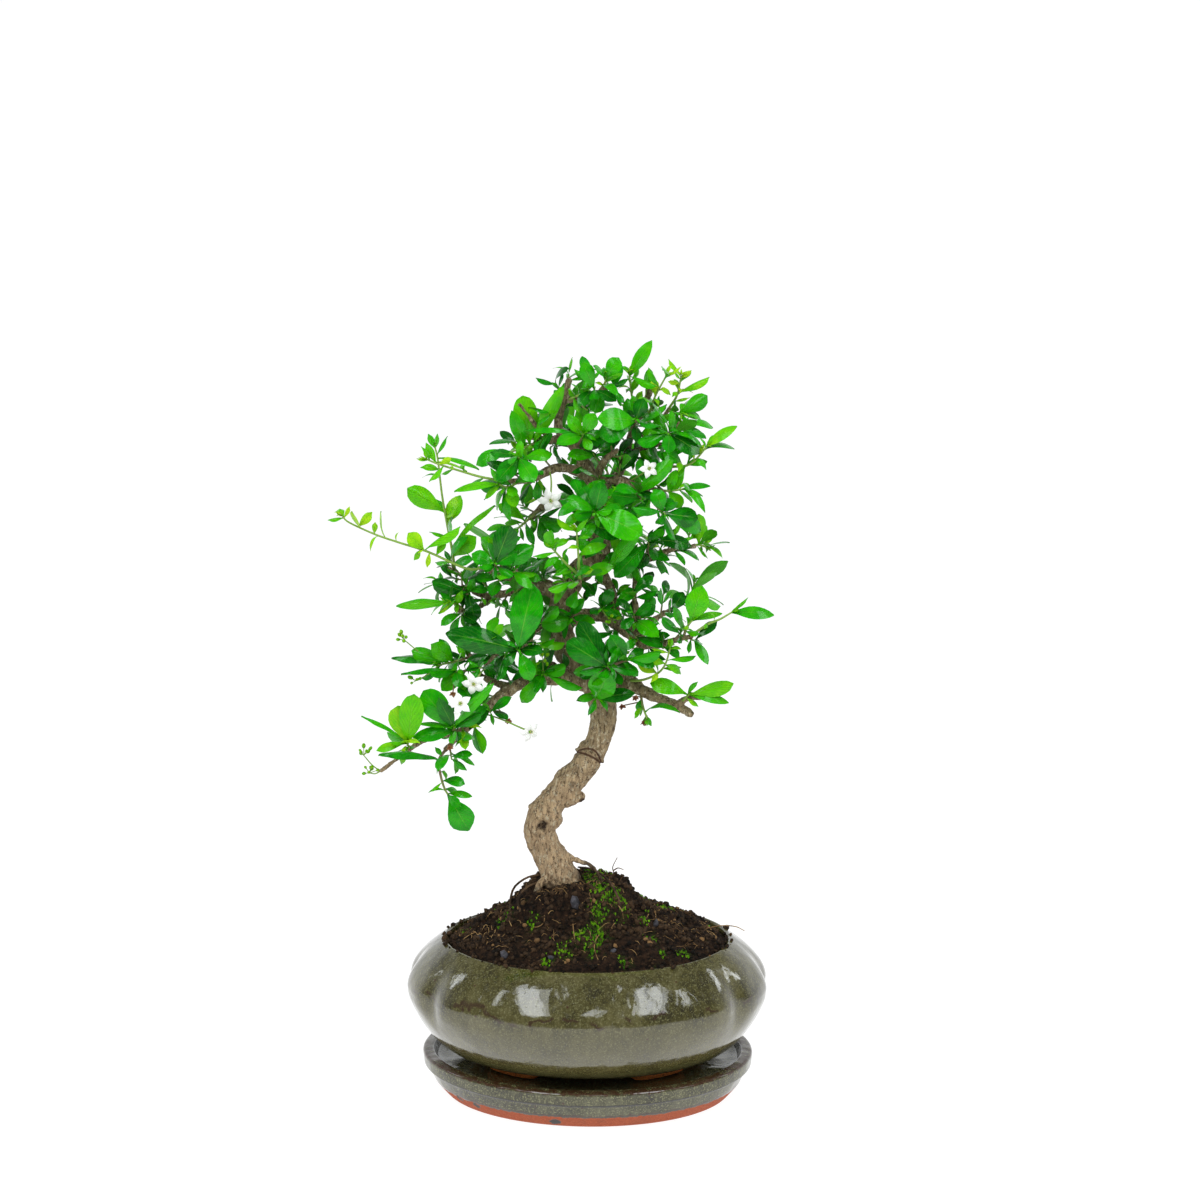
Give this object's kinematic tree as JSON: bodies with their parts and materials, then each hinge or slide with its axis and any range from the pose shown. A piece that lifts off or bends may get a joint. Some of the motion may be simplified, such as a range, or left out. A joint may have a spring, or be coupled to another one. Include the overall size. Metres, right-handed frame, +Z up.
{
  "type": "bonsai tree in pot",
  "caption": "Fukien tea bonsai with a bent trunk, small glossy leaves and white flowers, in a round-shouldered oval glazed pot on a matching saucer.",
  "frame": {"origin": "centre of the saucer's flat underside, on the surface it stands on", "axes": "+Z up; -Y towards the front of the tree; +X to the right as seen from the front, along the long way of the oval pot"},
  "size_m": [0.2356, 0.159, 0.4206],
  "materials": {
    "saucer_glaze": "glossy speckled olive-grey glaze, bare terracotta at the foot",
    "pot_glaze": "glossy speckled olive glaze, bare terracotta feet",
    "soil": "moist dark potting soil with moss",
    "bark": "rough grey-brown bark",
    "leaf_mature": "glossy dark green leaf",
    "leaf_young": "satin yellow-green leaf",
    "petal": "matt white petal",
    "drain_net": "matt"
  },
  "bodies": {
    "root": {"saucer": "saucer_glaze", "pot": "pot_glaze", "drain_net_left": "drain_net", "drain_net_right": "drain_net", "soil": "soil", "trunk": "bark", "spray_top_left": "leaf_mature", "spray_top_stub": "leaf_young", "spray_top_twig": "leaf_mature", "spray_top_mid": "leaf_mature", "spray_top_dark": "leaf_mature", "spray_top_high": "leaf_young", "spray_top_right": "leaf_young", "spray_top_far": "leaf_young", "spray_right_high": "leaf_young", "spray_right_shoulder": "leaf_mature", "spray_right_tip": "leaf_young", "spray_right_a": "leaf_mature", "spray_right_b": "leaf_mature", "spray_right_c": "leaf_young", "spray_right_d": "leaf_mature", "spray_right_e": "leaf_mature", "spray_right_f": "leaf_mature", "spray_right_shoot": "leaf_young", "spray_right_g": "leaf_young", "spray_right_h": "leaf_young", "spray_right_i": "leaf_mature", "spray_mid_top": "leaf_mature", "spray_mid_right": "leaf_mature", "spray_mid_shoots": "leaf_young", "spray_mid_low": "leaf_mature", "spray_mid_trunk": "leaf_mature", "spray_mid_left": "leaf_mature", "spray_mid_bud": "leaf_mature", "spray_left_big": "leaf_mature", "spray_left_hang": "leaf_mature", "spray_left_front": "leaf_mature", "spray_left_inner": "leaf_mature", "spray_left_slim": "leaf_young", "spray_left_upper": "leaf_mature", "spray_left_tip": "leaf_young", "spray_left_upright": "leaf_young", "spray_left_long": "leaf_young", "spray_left_dark": "leaf_mature", "spray_left_pod": "leaf_mature", "spray_left_low": "leaf_mature", "spray_left_star": "leaf_mature", "spray_low_rosette": "leaf_mature", "spray_low_yellow": "leaf_young", "spray_low_hanging": "leaf_mature", "spray_back_high": "leaf_mature", "spray_back_left": "leaf_mature", "spray_back_mid": "leaf_mature", "spray_back_low": "leaf_mature", "spray_back_right": "leaf_mature", "spray_back_top": "leaf_mature", "flower_inner": "petal", "flower_left": "petal", "flower_low": "petal", "flower_hanging": "petal"}
  },
  "joints": []
}
